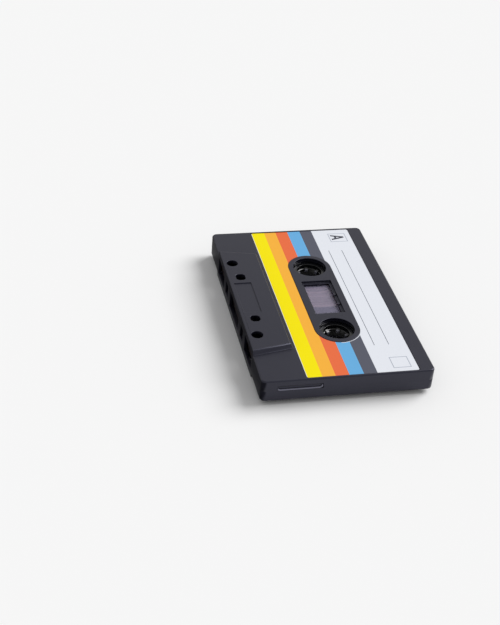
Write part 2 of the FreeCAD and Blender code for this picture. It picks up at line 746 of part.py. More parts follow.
def hub_clamp(label, x, turn):
    """The insert of the hub's rim that holds the end of the tape."""
    body = new_body(label, x, HUB_Y, turn=turn)
    section = Drawing(body, "section", "XZ_Plane")
    inner = "hub_radius - clamp_depth + clamp_fit"
    section.rectangle(inner, "hub_radius", "-hub_height / 2", "hub_height / 2")
    section.turned("Revolution", "clamp_angle")
    return body


def tape_pack(label, x, radius):
    """The wound tape on a hub, as one ring."""
    body = new_body(label, x, HUB_Y)
    rings = Drawing(body, "rings")
    rings.circle("0", "0", radius).circle("0", "0", "hub_radius + pack_fit")
    rings.pad("tape_width", both_ways=True)
    return body


def roller(label, x):
    """A guide roller with the bore for its pin."""
    body = new_body(label, x, ROLLER_Y)
    rings = Drawing(body, "rings")
    rings.circle("0", "0", "roller_radius").circle("0", "0", "pin_radius + pin_running_fit")
    rings.pad("roller_height", both_ways=True)
    return body


def roller_pin(label, x):
    """The steel pin of a roller, seated in both halves."""
    body = new_body(label, x, ROLLER_Y)
    Drawing(body, "outline").circle("0", "0", "pin_radius").pad(f"2 * {PIN_END}", both_ways=True)
    return body


def pressure_pad(label):
    """The felt pad behind the tape."""
    body = new_body(label)
    outline = Drawing(body, "outline")
    outline.rectangle("-pad_length / 2", "pad_length / 2", PAD_FRONT, PAD_BACK)
    outline.pad("pad_height", both_ways=True)
    return body


def pad_spring(label):
    """The leaf spring: a flat middle behind the pad and two slanting arms with their feet on the holders."""
    body = new_body(label)
    line = [
        ("-spring_length / 2", SPRING_FOOT_Y),
        ("-spring_foot / 2", SPRING_FOOT_Y),
        ("-spring_flat / 2", PAD_BACK),
        ("spring_flat / 2", PAD_BACK),
        ("spring_foot / 2", SPRING_FOOT_Y),
        ("spring_length / 2", SPRING_FOOT_Y),
    ]
    back = [(x, f"{y} + spring_gauge") for x, y in reversed(line)]
    Drawing(body, "leaf").polygon(line + back).pad("spring_height", both_ways=True)
    return body


def magnetic_shield(label):
    """The shield plate in the slots of the holders, with its upper and lower edges folded back."""
    body = new_body(label)
    plate = Drawing(body, "plate")
    back = f"{SHIELD_Y} + shield_gauge"
    plate.rectangle("-shield_length / 2", "shield_length / 2", SHIELD_Y, back)
    plate.pad("shield_height", both_ways=True)
    levels = {"lower_fold": "-shield_height / 2", "upper_fold": "shield_height / 2 - shield_gauge"}
    for name, level in levels.items():
        fold = Drawing(body, name, level=level)
        half = "shield_fold_length / 2"
        fold.rectangle(f"-{half}", half, SHIELD_Y, f"{back} + shield_fold")
        fold.pad("shield_gauge")
    return body


def screw(label, x, y, face):
    """One countersunk screw, its head just under a face of side B that lies this far from the seam."""
    body = new_body(label, x, y, f"{HALF_HEAD} - {face} + screw_recess", turned=True)
    section = [
        ("0", "0"),
        ("screw_head_radius", "0"),
        ("screw_radius", f"-{HEAD_CONE}"),
        ("screw_radius", f"-{HEAD_CONE} - screw_length"),
        ("0", f"-{HEAD_CONE} - screw_length"),
    ]
    Drawing(body, "section", "XZ_Plane").polygon(section[::-1]).turned()
    return body


def shell_screws(label):
    """The five screws as separate solids of one piece of hardware."""
    screws = [screw(f"screw_{k}", x, y, HALF_BODY) for k, (x, y) in enumerate(CORNER_SCREWS, 1)]
    screws.append(screw("screw_middle", *MIDDLE_SCREW, HALF_HEAD))
    group = doc.addObject("Part::Compound", label)
    group.Label = label
    group.Links = screws
    return group


def around(centre, radius, angle):
    """The point of a circle at an angle."""
    return centre + FreeCAD.Vector(radius * math.cos(angle), radius * math.sin(angle), 0)


def leaving_angle(pack, pack_radius, wheel, wheel_radius, side):
    """The angle at which the tape leaves a pack for its roller, the same on both, outside on either side."""
    way = wheel - pack
    lean = math.acos((pack_radius - wheel_radius) / way.Length)
    return math.atan2(way.y, way.x) + side * lean


def tape_run(label):
    """The free tape: from the full pack round both rollers, along the front edge, up to the other hub."""
    off = number("tape_gap + tape_gauge / 2")
    hub_x, hub_y, wheel_x, wheel_y = (number(place) for place in (HUB_X, HUB_Y, ROLLER_X, ROLLER_Y))
    wheel_radius = number("roller_radius") + off
    ends = []
    for side, radius in ((-1, FULL_PACK), (1, "hub_radius")):
        pack = FreeCAD.Vector(side * hub_x, hub_y, 0)
        wheel = FreeCAD.Vector(side * wheel_x, wheel_y, 0)
        pack_radius = number(radius) + off
        ends.append((pack, pack_radius, wheel, leaving_angle(pack, pack_radius, wheel, wheel_radius, side)))

    def line_at(shift):
        """The edges of the run, moved by a distance away from the rollers."""
        down = -math.pi / 2
        radius = wheel_radius + shift
        spans, arcs = [], []
        for pack, pack_radius, wheel, angle in ends:
            sharp = angle if angle < 0 or wheel.x > 0 else angle - 2 * math.pi
            spans.append((around(pack, pack_radius + shift, angle), around(wheel, radius, angle)))
            arcs.append([around(wheel, radius, turn) for turn in (sharp, (sharp + down) / 2, down)])
        left, right = arcs
        return [
            Part.LineSegment(*spans[0]).toShape(),
            Part.Arc(*left).toShape(),
            Part.LineSegment(left[2], right[2]).toShape(),
            Part.Arc(*right[::-1]).toShape(),
            Part.LineSegment(*spans[1][::-1]).toShape(),
        ]

    half = number("tape_gauge") / 2
    near, far = line_at(-half), line_at(half)
    start = Part.LineSegment(near[0].Vertexes[0].Point, far[0].Vertexes[0].Point).toShape()
    end = Part.LineSegment(near[-1].Vertexes[-1].Point, far[-1].Vertexes[-1].Point).toShape()
    outline = Part.Wire(Part.__sortEdges__(near + far + [start, end]))
    ribbon = Part.Face(outline).extrude(FreeCAD.Vector(0, 0, number("tape_width")))
    piece = doc.addObject("Part::Feature", label)
    piece.Label = label
    piece.Shape = ribbon
    piece.Placement.Base = FreeCAD.Vector(0, 0, number(f"{HALF_HEAD} - tape_width / 2"))
    return piece


def build():
    """Every piece of the cassette."""
    left, right = f"-{HUB_X}", HUB_X
    left_wheel, right_wheel = f"-{ROLLER_X}", ROLLER_X
    return [
        half_shell("shell_side_a", turned=False),
        half_shell("shell_side_b", turned=True),
        pane("window_side_a", turned=False),
        pane("window_side_b", turned=True),
        paper_label("label_side_a"),
        slip_sheet("liner_side_a", turned=False),
        slip_sheet("liner_side_b", turned=True),
        hub("left_hub", left, "left_hub_turn"),
        hub("right_hub", right, "right_hub_turn"),
        hub_clamp("left_hub_clamp", left, "left_hub_turn"),
        hub_clamp("right_hub_clamp", right, "right_hub_turn"),
        tape_pack("left_tape_pack", left, FULL_PACK),
        tape_run("tape_run"),
        roller("left_guide_roller", left_wheel),
        roller("right_guide_roller", right_wheel),
        roller_pin("left_roller_pin", left_wheel),
        roller_pin("right_roller_pin", right_wheel),
        pressure_pad("pressure_pad"),
        pad_spring("pad_spring"),
        magnetic_shield("magnetic_shield"),
        shell_screws("shell_screws"),
    ]


def check(pieces):
    """Stop where a feature failed or a piece has no sound solid."""
    failed = [item.Label for item in doc.Objects if {"Invalid", "Error"} & set(item.State)]
    if failed:
        raise RuntimeError(f"features failed: {failed}")
    for piece in pieces:
        shape = piece.Shape
        if shape.isNull() or not shape.isValid() or not shape.Solids:
            raise RuntimeError(f"{piece.Label} has no sound solid")


pieces = build()
doc.recompute()
check(pieces)
os.makedirs("parts", exist_ok=True)
for piece in pieces:
    piece.Shape.exportStep(f"parts/{piece.Label}.step")
    print(f"{piece.Label}: {len(piece.Shape.Solids)} solid, {piece.Shape.Volume:.1f} mm3")
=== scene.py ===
import bmesh
import bpy
import math
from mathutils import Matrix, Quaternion, Vector, noise


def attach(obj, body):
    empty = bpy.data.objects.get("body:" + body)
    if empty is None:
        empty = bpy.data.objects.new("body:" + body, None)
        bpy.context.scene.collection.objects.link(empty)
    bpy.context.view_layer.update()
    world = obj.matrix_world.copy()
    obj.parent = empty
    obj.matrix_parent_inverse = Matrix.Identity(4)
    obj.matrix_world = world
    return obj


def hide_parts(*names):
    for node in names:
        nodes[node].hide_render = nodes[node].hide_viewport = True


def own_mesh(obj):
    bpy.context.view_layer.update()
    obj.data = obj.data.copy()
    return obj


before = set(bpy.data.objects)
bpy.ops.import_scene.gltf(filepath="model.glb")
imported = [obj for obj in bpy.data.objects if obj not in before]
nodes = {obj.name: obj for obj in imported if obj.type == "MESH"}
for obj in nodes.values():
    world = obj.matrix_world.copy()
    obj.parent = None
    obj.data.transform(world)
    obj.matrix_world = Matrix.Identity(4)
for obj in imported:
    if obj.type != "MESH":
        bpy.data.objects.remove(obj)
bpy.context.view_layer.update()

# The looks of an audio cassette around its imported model. X runs along its length, the front edge
# with the tape is towards -Y, and side A is up. Sizes are in millimetres, and MM turns them into
# the metres of the scene. Angles are in degrees.

MM = 0.001

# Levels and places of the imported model
MIDDLE = 6.0
LABEL_TOP = 10.15
BODY_BOTTOM = 1.65
HUB_X, HUB_Y = 21.25, 2.9
ISLAND_RADIUS = 8.55
WINDOW_AREA = (11.3, 6.1)

# Camera of the photograph, whose frame is 500 x 625
CAMERA_PLACE = (356.565, -115.622, 257.007)
CAMERA_TARGET = (1.738, -25.930, 6.0)
CAMERA_ROLL = 4.713
CAMERA_LENS = 83.585
CAMERA_CLIP = (0.01, 20.0)
SENSOR_WIDTH = 36.0

# Colours as they are seen, 0 to 255
SHELL_COLOUR = (15, 15, 25)
# Paler grey painted on the scoops' beads and the hubs' tooth tips as painted highlights
PAINTED_HIGHLIGHT_COLOUR = (128, 128, 146)
HUB_COLOUR = (7, 7, 8)
TAPE_COLOUR = (104, 82, 85)
RIBBON_COLOUR = (88, 70, 66)
# The panes' pale colour is partly their faint mauve cast and partly a painted reflection of the sky
PANE_COLOUR = (189, 185, 215)
LINER_COLOUR = (70, 70, 74)
ROLLER_COLOUR = (205, 205, 205)
STEEL_COLOUR = (175, 176, 178)
BRONZE_COLOUR = (190, 140, 90)
FELT_COLOUR = (170, 150, 120)
INK, PALE_INK, DARK_INK = (92, 98, 112), (172, 178, 190), (34, 38, 54)
YELLOW, AMBER, ORANGE = (246, 229, 0), (246, 178, 62), (232, 111, 68)
BLUE, GREY, WHITE = (105, 173, 222), (88, 90, 102), (228, 231, 238)

# Where each stripe of the label starts, from its front edge to the rear one
STRIPE_STARTS = [
    (-15.4, WHITE),
    (-15.32, YELLOW),
    (-10.0, AMBER),
    (-5.04, ORANGE),
    (-0.05, BLUE),
    (5.23, GREY),
    (10.27, WHITE),
]
LABEL_END = 26.1

# A white line along the island's rim, at its end towards +X and +Y: its width, the way it faces and how
# far out it starts
RIM_LINE_WIDTH, RIM_LINE_WAY, RIM_LINE_FROM = 0.4, (0.85, 0.53), 25.2

# The curve between colours as they are seen and linear light
SEEN_FULL, CURVE_FOOT = 255, 10
CURVE_OFFSET, CURVE_POWER, CURVE_SLOPE = 0.055, 2.4, 12.92


def linear(colour):
    """A colour seen as 0 to 255, as the linear values that a shader takes."""
    parts = []
    for value in colour:
        share = value / SEEN_FULL
        curved = ((share + CURVE_OFFSET) / (1 + CURVE_OFFSET)) ** CURVE_POWER
        parts.append(curved if value > CURVE_FOOT else share / CURVE_SLOPE)
    return parts


def opaque(colour):
    """A colour seen as 0 to 255, as linear values with full cover."""
    return (*linear(colour), 1)


# Where noise, which keeps near its middle, is taken to start and end
NOISE_LOW, NOISE_HIGH = 0.3, 0.7


class Graph:
    """Nodes of one tree, made and joined in short calls."""

    def __init__(self, tree):
        self.tree = tree

    def node(self, kind, inputs=None, **settings):
        """A node with its settings, and with its inputs linked or set."""
        made = self.tree.nodes.new(kind)
        for name, value in settings.items():
            setattr(made, name, value)
        for key, value in (inputs or {}).items():
            if isinstance(value, bpy.types.NodeSocket):
                self.tree.links.new(value, made.inputs[key])
            else:
                made.inputs[key].default_value = value
        return made

    def math(self, operation, first, second=0.0):
        """The result of one sum."""
        return self.node("ShaderNodeMath", {0: first, 1: second}, operation=operation).outputs[0]

    def ranged(self, value, start, end, low=0.0, high=1.0):
        """A value from start to end as one from low to high, and no further."""
        inputs = {"Value": value, "From Min": start, "From Max": end, "To Min": low, "To Max": high}
        return self.node("ShaderNodeMapRange", inputs).outputs["Result"]

    def scaled(self, value, low, high):
        """A value from 0 to 1 as one from low to high."""
        return self.ranged(value, 0.0, 1.0, low, high)

    def split(self, place):
        """The three parts of a place."""
        return self.node("ShaderNodeSeparateXYZ", {0: place}).outputs

    def beyond(self, value, limit):
        """How far a place lies outside a limit on both sides of zero, in metres."""
        return self.math("SUBTRACT", self.math("ABSOLUTE", value), limit * MM)

    def in_window(self, x, y):
        """1 about the window, else 0."""
        along = self.beyond(x, WINDOW_AREA[0])
        across = self.beyond(self.math("SUBTRACT", y, HUB_Y * MM), WINDOW_AREA[1])
        return self.math("LESS_THAN", self.math("MAXIMUM", along, across), 0.0)


class Finish(Graph):
    """A node material about one shader, with colour, roughness and relief from its own nodes."""

    def __init__(self, name, colour, roughness, **fixed):
        self.material = bpy.data.materials.new(name)
        self.material.use_nodes = True
        super().__init__(self.material.node_tree)
        self.shader = self.tree.nodes["Principled BSDF"]
        self.colour = linear(colour)
        self.shader.inputs["Base Color"].default_value = opaque(colour)
        self.shader.inputs["Roughness"].default_value = roughness
        for socket, value in fixed.items():
            self.shader.inputs[socket.replace("_", " ")].default_value = value
        self.place = self.node("ShaderNodeTexCoord").outputs["Object"]

    def link(self, source, socket):
        """Feed one input of the shader."""
        self.tree.links.new(source, self.shader.inputs[socket])

    def from_hubs(self, x, y):
        """The way from the nearer hub's axis along X, which is negative between the hubs, and along Y."""
        return self.beyond(x, HUB_X), self.math("SUBTRACT", y, HUB_Y * MM)

    def length(self, x, y):
        """The length of a flat way."""
        flat = self.node("ShaderNodeCombineXYZ", {"X": x, "Y": y}).outputs["Vector"]
        return self.node("ShaderNodeVectorMath", {0: flat}, operation="LENGTH").outputs["Value"]

    def speckle(self, size, detail=2.0, place=None):
        """Noise from 0 to 1 with spots of a size in millimetres."""
        inputs = {"Vector": place or self.place, "Scale": 1 / (size * MM), "Detail": detail}
        return self.node("ShaderNodeTexNoise", inputs).outputs[0]

    def stretched(self, value):
        """Noise spread over 0 to 1."""
        return self.ranged(value, NOISE_LOW, NOISE_HIGH)

    def tint(self, value, low, high, base=None):
        """The base colour, made darker and lighter by a value from 0 to 1."""
        inputs = {"Vector": base or self.colour, "Scale": self.scaled(value, low, high)}
        shaded = self.node("ShaderNodeVectorMath", inputs, operation="SCALE").outputs["Vector"]
        self.link(shaded, "Base Color")

    def gloss(self, value, low, high):
        """Roughness that follows a value from 0 to 1."""
        self.link(self.scaled(value, low, high), "Roughness")

    def mixed(self, share, first, second):
        """A colour between two."""
        return self.node("ShaderNodeMix", {0: share, 6: first, 7: second}, data_type="RGBA").outputs[2]

    def relief(self, height, depth):
        """A bump of a depth in millimetres."""
        bump = self.node("ShaderNodeBump", {"Height": height, "Strength": 1.0, "Distance": depth * MM})
        self.link(bump.outputs["Normal"], "Normal")


# Moulded plastic: patches of shade and of gloss, and the finest grain
SHADE_PATCH, PATCH_DARK, PATCH_PALE = 6.0, 0.85, 1.15
GLOSS_PATCH, GLOSS_SPREAD = 3.0, 0.05
FINE_GRAIN = 0.12


def moulded(name, colour, roughness, grain, depth):
    """Moulded plastic with a grain and slightly uneven gloss."""
    finish = Finish(name, colour, roughness)
    finish.tint(finish.speckle(SHADE_PATCH), PATCH_DARK, PATCH_PALE)
    finish.gloss(finish.speckle(GLOSS_PATCH), roughness - GLOSS_SPREAD, roughness + GLOSS_SPREAD)
    finish.relief(finish.speckle(grain), depth)
    return finish.material


SHELL_ROUGHNESS, SHELL_RELIEF = 0.34, 0.004
SHELL_GLOSS = {"Specular_IOR_Level": 0.56, "Specular_Tint": (0.78, 0.78, 1.0, 1.0)}
POLISHED_ROUGHNESS, POLISHED_RADIUS = 0.08, 7.3

# How far from level a face may look and still count as a wall
UPRIGHT = 0.5


def polished_walls(finish):
    """1 on the upright walls of the hub holes and the window, else 0."""
    x, y, _ = finish.split(finish.place)
    in_hole = finish.math("LESS_THAN", finish.length(*finish.from_hubs(x, y)), POLISHED_RADIUS * MM)
    inside = finish.math("MAXIMUM", in_hole, finish.in_window(x, y))
    level = finish.split(finish.node("ShaderNodeTexCoord").outputs["Normal"])["Z"]
    upright = finish.math("LESS_THAN", finish.math("ABSOLUTE", level), UPRIGHT)
    return finish.math("MULTIPLY", inside, upright)


def shell_finish():
    """The shell's moulded plastic, whose grain ends at the polished walls of its openings."""
    finish = Finish("shell_plastic", SHELL_COLOUR, SHELL_ROUGHNESS, **SHELL_GLOSS)
    finish.tint(finish.speckle(SHADE_PATCH), PATCH_DARK, PATCH_PALE)
    polished = polished_walls(finish)
    rougher, smoother = SHELL_ROUGHNESS + GLOSS_SPREAD, SHELL_ROUGHNESS - GLOSS_SPREAD
    grained = finish.scaled(finish.speckle(GLOSS_PATCH), smoother, rougher)
    finish.gloss(polished, grained, POLISHED_ROUGHNESS)
    coarse = finish.math("SUBTRACT", 1.0, polished)
    finish.relief(finish.math("MULTIPLY", finish.speckle(FINE_GRAIN), coarse), SHELL_RELIEF)
    return finish.material


LINES_ALONG_X, LINES_ALONG_Z = (0.02, 1.0, 1.0), (1.0, 1.0, 0.1)
BRUSHED_SMOOTHER, BRUSHED_ROUGHER = 0.08, 0.1


def brushed(name, colour, roughness, along, depth):
    """Metal with fine lines along one direction, given as how fast the lines change along X, Y and Z."""
    finish = Finish(name, colour, roughness, Metallic=1.0)
    inputs = {"Vector": finish.place, "Scale": along}
    drawn_out = finish.node("ShaderNodeMapping", inputs).outputs["Vector"]
    lines = finish.speckle(size=1.0, place=drawn_out)
    finish.tint(lines, low=0.8, high=1.1)
    finish.gloss(lines, roughness - BRUSHED_SMOOTHER, roughness + BRUSHED_ROUGHER)
    finish.relief(lines, depth)
    return finish.material


HUB_ROUGHNESS = 0.18
# Where the painted highlights on the tooth tips start and fade, and how pale they get
GLINT_RADIUS, GLINT_FADE, TIP_GLINT = 4.0, 4.5, 0.6


def hub_finish():
    """The hubs' moulded plastic, with painted highlights as paler spots at the tips of the teeth."""
    finish = Finish("hub_plastic", HUB_COLOUR, HUB_ROUGHNESS)
    x, y, _ = finish.split(finish.place)
    radius = finish.length(*finish.from_hubs(x, y))
    # Painted highlights: the tooth tips are painted paler in spots, in place of the lamp's glints
    glint_reach = finish.ranged(radius, GLINT_FADE * MM, GLINT_RADIUS * MM, high=TIP_GLINT)
    glints = finish.math("MULTIPLY", glint_reach, finish.stretched(finish.speckle(size=0.5)))
    finish.link(finish.mixed(glints, opaque(HUB_COLOUR), opaque(PAINTED_HIGHLIGHT_COLOUR)), "Base Color")
    finish.gloss(finish.speckle(GLOSS_PATCH), HUB_ROUGHNESS - GLOSS_SPREAD, HUB_ROUGHNESS + GLOSS_SPREAD)
    finish.relief(finish.speckle(FINE_GRAIN), depth=0.002)
    return finish.material


def stripes(finish, y):
    """The colours of the label's stripes and of its white field."""
    start = STRIPE_STARTS[0][0]
    ramp = finish.node("ShaderNodeValToRGB", {"Fac": finish.ranged(y, start * MM, LABEL_END * MM)})
    ramp.color_ramp.interpolation = "CONSTANT"
    stops = ramp.color_ramp.elements
    while len(stops) < len(STRIPE_STARTS):
        stops.new(1.0)
    for stop, (place, colour) in zip(stops, STRIPE_STARTS):
        stop.position = (place - start) / (LABEL_END - start)
        stop.color = opaque(colour)
    return ramp.outputs["Color"]


def white_rim_line(finish, x, y):
    """1 along the island's rim at its end towards +X and +Y, else 0."""
    along, across = finish.from_hubs(x, y)
    from_island = finish.length(finish.math("MAXIMUM", along, 0.0), across)
    at_island = finish.math("LESS_THAN", from_island, (ISLAND_RADIUS + RIM_LINE_WIDTH) * MM)
    sideways = finish.math("MULTIPLY", x, RIM_LINE_WAY[0])
    rearwards = finish.math("MULTIPLY", across, RIM_LINE_WAY[1])
    at_end = finish.math("GREATER_THAN", finish.math("ADD", sideways, rearwards), RIM_LINE_FROM * MM)
    return finish.math("MULTIPLY", at_island, at_end)


def label_finish():
    """The printed label: stripes of plain colour and a white field, slightly uneven in gloss."""
    finish = Finish("label_film", WHITE, roughness=0.55, Specular_IOR_Level=0.1)
    x, y, _ = finish.split(finish.place)
    printed = finish.mixed(white_rim_line(finish, x, y), stripes(finish, y), opaque(WHITE))
    finish.tint(finish.speckle(size=0.4), low=0.97, high=1.03, base=printed)
    finish.gloss(finish.speckle(size=8.0), low=0.5, high=0.6)
    finish.relief(finish.speckle(size=1.5), depth=0.002)
    return finish.material


def wound_finish():
    """Wound tape: fine rings about the left hub, some turns standing a little proud."""
    finish = Finish("wound_tape", TAPE_COLOUR, roughness=0.4)
    x, y, _ = finish.split(finish.place)
    radius = finish.length(finish.math("ADD", x, HUB_X * MM), finish.math("SUBTRACT", y, HUB_Y * MM))
    rings = finish.node("ShaderNodeCombineXYZ", {"X": radius}).outputs["Vector"]
    turns = finish.stretched(finish.speckle(size=1.3, detail=2.5, place=rings))
    finish.tint(turns, low=0.2, high=1.8)
    finish.gloss(turns, low=0.3, high=0.5)
    finish.relief(turns, depth=0.02)
    return finish.material


def felt_finish():
    """Felt: matted fibres with a soft sheen."""
    finish = Finish("felt", FELT_COLOUR, roughness=0.95, Sheen_Weight=0.4)
    fibres = finish.speckle(size=0.25, detail=8.0)
    finish.tint(fibres, low=0.6, high=1.3)
    finish.relief(fibres, depth=0.15)
    return finish.material


def clear_finish():
    """The clear panes: see-through, with a pale mauve haze that is partly their faint cast and partly a
    painted reflection of the sky, and a gloss with slight waves.
    """
    finish = Finish("clear_plastic", PANE_COLOUR, roughness=0.08, Alpha=0.2)
    finish.tint(finish.speckle(size=5.0), low=0.9, high=1.1)
    finish.gloss(finish.speckle(size=4.0), low=0.05, high=0.12)
    finish.relief(finish.speckle(size=6.0), depth=0.01)
    return finish.material


PRINTED = {"roughness": 0.45, "grain": 0.3, "depth": 0.001}
SHELL = shell_finish()
# Paler plastic that paints highlights
PAINTED_HIGHLIGHT = moulded("painted_highlight_plastic", PAINTED_HIGHLIGHT_COLOUR, roughness=0.3, grain=0.8, depth=0.02)
LABEL = label_finish()
CLEAR = clear_finish()
LINER = moulded("slip_sheet", LINER_COLOUR, roughness=0.45, grain=0.6, depth=0.01)
HUB = hub_finish()
WOUND = wound_finish()
RIBBON = brushed("tape_ribbon", RIBBON_COLOUR, roughness=0.35, along=LINES_ALONG_X, depth=0.002)
ROLLER = moulded("roller_plastic", ROLLER_COLOUR, roughness=0.4, grain=FINE_GRAIN, depth=0.003)
STEEL = brushed("steel", STEEL_COLOUR, roughness=0.35, along=LINES_ALONG_Z, depth=0.003)
BRONZE = brushed("spring_bronze", BRONZE_COLOUR, roughness=0.3, along=LINES_ALONG_X, depth=0.003)
FELT = felt_finish()
PRINT = moulded("label_print", INK, **PRINTED)
PALE_PRINT = moulded("pale_print", PALE_INK, **PRINTED)
DARK_PRINT = moulded("dark_print", DARK_INK, **PRINTED)

NODE_FINISHES = {
    "shell_side_a": SHELL,
    "shell_side_b": SHELL,
    "label_side_a": LABEL,
    "window_side_a": CLEAR,
    "window_side_b": CLEAR,
    "liner_side_a": LINER,
    "liner_side_b": LINER,
    "left_hub": HUB,
    "right_hub": HUB,
    "left_hub_clamp": HUB,
    "right_hub_clamp": HUB,
    "left_tape_pack": WOUND,
    "tape_run": RIBBON,
    "left_guide_roller": ROLLER,
    "right_guide_roller": ROLLER,
    "left_roller_pin": STEEL,
    "right_roller_pin": STEEL,
    "pressure_pad": FELT,
    "pad_spring": BRONZE,
    "magnetic_shield": STEEL,
    "shell_screws": STEEL,
}


def coat(obj, material):
    """Give a piece one material."""
    obj.data.materials.clear()
    obj.data.materials.append(material)
    for face in obj.data.polygons:
        face.material_index = 0


# Rounded edges: how sharp an edge is rounded, by how much, and the share of it away from the window
# and at the seam between both halves
SHARP = 30.0
SHELL_ROUNDING, HUB_ROUNDING, ROUNDING_STEPS = 0.24, 0.18, 2
PLAIN_SHARE, SEAM_SHARE, SEAM_REACH = 0.58, 0.15, 0.05
WELD_REACH, FLAT_ANGLE = 0.0005, 0.3

# The head's front corners, which keep their hard edges
KEPT_CORNER, KEPT_REACH, KEPT_FRONT = 33.7, 0.6, 31.0


def kept_corners(graph, x, y):
    """1 at the corners that keep their hard edges, else 0."""
    near = graph.math("LESS_THAN", graph.beyond(graph.beyond(x, KEPT_CORNER), KEPT_REACH), 0.0)
    outermost = graph.math("GREATER_THAN", graph.beyond(y, KEPT_FRONT), 0.0)
    return graph.math("MULTIPLY", near, outermost)


def edge_share(graph):
    """How much each edge is rounded: most at the window, and hardly at the seam."""
    x, y, z = graph.split(graph.node("GeometryNodeInputPosition").outputs["Position"])
    share = graph.scaled(graph.in_window(x, y), PLAIN_SHARE, 1.0)
    height = graph.math("ABSOLUTE", graph.math("SUBTRACT", z, MIDDLE * MM))
    off_seam = graph.math("GREATER_THAN", height, SEAM_REACH * MM)
    share = graph.math("MULTIPLY", share, graph.scaled(off_seam, SEAM_SHARE, 1.0))
    angle = graph.node("GeometryNodeInputMeshEdgeAngle").outputs["Unsigned Angle"]
    sharp = graph.math("GREATER_THAN", angle, math.radians(SHARP))
    return graph.math("MULTIPLY", graph.scaled(kept_corners(graph, x, y), share, 0.0), sharp)


def edge_weights():
    """Nodes that store how much each edge is rounded."""
    group = bpy.data.node_groups.new("edge_weights", "GeometryNodeTree")
    for way in ("INPUT", "OUTPUT"):
        group.interface.new_socket(name="Geometry", in_out=way, socket_type="NodeSocketGeometry")
    graph = Graph(group)
    inputs = {
        "Geometry": graph.node("NodeGroupInput").outputs[0],
        "Name": "bevel_weight_edge",
        "Value": edge_share(graph),
    }
    stored = graph.node("GeometryNodeStoreNamedAttribute", inputs, data_type="FLOAT", domain="EDGE")
    graph.node("NodeGroupOutput", {0: stored.outputs[0]})
    return group


EDGE_WEIGHTS = edge_weights()


def soften(obj, width):
    """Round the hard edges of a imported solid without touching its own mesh."""
    weld = obj.modifiers.new("weld", "WELD")
    weld.merge_threshold = WELD_REACH * MM
    flat = obj.modifiers.new("flat_faces", "DECIMATE")
    flat.decimate_type = "DISSOLVE"
    flat.angle_limit = math.radians(FLAT_ANGLE)
    marked = obj.modifiers.new("edge_weights", "NODES")
    marked.node_group = EDGE_WEIGHTS
    bevel = obj.modifiers.new("round_edges", "BEVEL")
    bevel.width = width * MM
    bevel.segments = ROUNDING_STEPS
    bevel.limit_method = "WEIGHT"
    bevel.use_clamp_overlap = False
    bevel.harden_normals = True


def piece(name, build, body, material):
    """A new piece from mesh code, which rides on a body."""
    mesh = bmesh.new()
    build(mesh)
    bmesh.ops.recalc_face_normals(mesh, faces=mesh.faces)
    data = bpy.data.meshes.new(name)
    mesh.to_mesh(data)
    mesh.free()
    obj = bpy.data.objects.new(name, data)
    bpy.context.scene.collection.objects.link(obj)
    coat(obj, material)
    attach(obj, body)
    return obj


SMOOTH_ANGLE, ROUND_ANGLE = 30.0, 60.0


def smooth_by_angle(obj, angle=SMOOTH_ANGLE):
    """Smooth shading, except across edges sharper than an angle."""
    for face in obj.data.polygons:
        face.use_smooth = True
    mesh = bmesh.new()
    mesh.from_mesh(obj.data)
    for edge in mesh.edges:
        if len(edge.link_faces) == 2:
            edge.smooth = edge.calc_face_angle(0.0) < math.radians(angle)
    mesh.to_mesh(obj.data)
    mesh.free()


def vertex(mesh, x, y, z):
    """A vertex at a place in millimetres."""
    return mesh.verts.new((x * MM, y * MM, z * MM))


def outline(mesh, corners, level, x=0.0, y=0.0):
    """Vertices at the corners of a flat outline about a place, at one level."""
    return [vertex(mesh, x + a, y + b, level) for a, b in corners]


def join(mesh, first, second, count=None):
    """Faces between two rows of vertices, all round or a count of them."""
    for k in range(count or len(first)):
        following = (k + 1) % len(first)
        mesh.faces.new((first[k], first[following], second[following], second[k]))


def tube(mesh, rings):
    """A solid through rings of vertices, closed at both ends."""
    for first, second in zip(rings, rings[1:]):
        join(mesh, first, second)
    mesh.faces.new(rings[0][::-1])
    mesh.faces.new(rings[-1])


def block(mesh, corners, low, high):
    """An upright prism on flat corners, between two levels."""
    tube(mesh, [outline(mesh, corners, level) for level in (low, high)])


def rectangle(left, right, front, rear):
    """The corners of a rectangle."""
    return [(left, front), (right, front), (right, rear), (left, rear)]


PRINT_HEIGHT = 0.012
LINE_WIDTH, BOX_WIDTH = 0.22, 0.32
WRITING_LINES = [13.95, 19.45]
WRITING_REACH = 33.0
BOXES = [(-46.2, -39.6, 16.7, 24.1), (40.7, 47.1, 17.0, 23.8)]
MARK_X, MARK_Y = -43.1, 20.3
MARK_HEIGHT, MARK_WIDTH, MARK_STROKE = 5.4, 3.0, 0.95
MARK_HOLLOW, MARK_WAIST = 1.6, (0.25, 0.09)


def ink(mesh, corners):
    """A thin patch of print on the label."""
    block(mesh, corners, LABEL_TOP, LABEL_TOP + PRINT_HEIGHT)


def print_lines(mesh):
    """The two writing lines of the label."""
    for y in WRITING_LINES:
        ink(mesh, rectangle(-WRITING_REACH, WRITING_REACH, y - LINE_WIDTH / 2, y + LINE_WIDTH / 2))


def print_boxes(mesh):
    """The two boxes of the label, with mitred corners."""
    for left, right, front, rear in BOXES:
        outer = rectangle(left, right, front, rear)
        inner = rectangle(left + BOX_WIDTH, right - BOX_WIDTH, front + BOX_WIDTH, rear - BOX_WIDTH)
        for k in range(len(outer)):
            following = (k + 1) % len(outer)
            ink(mesh, [outer[k], outer[following], inner[following], inner[k]])


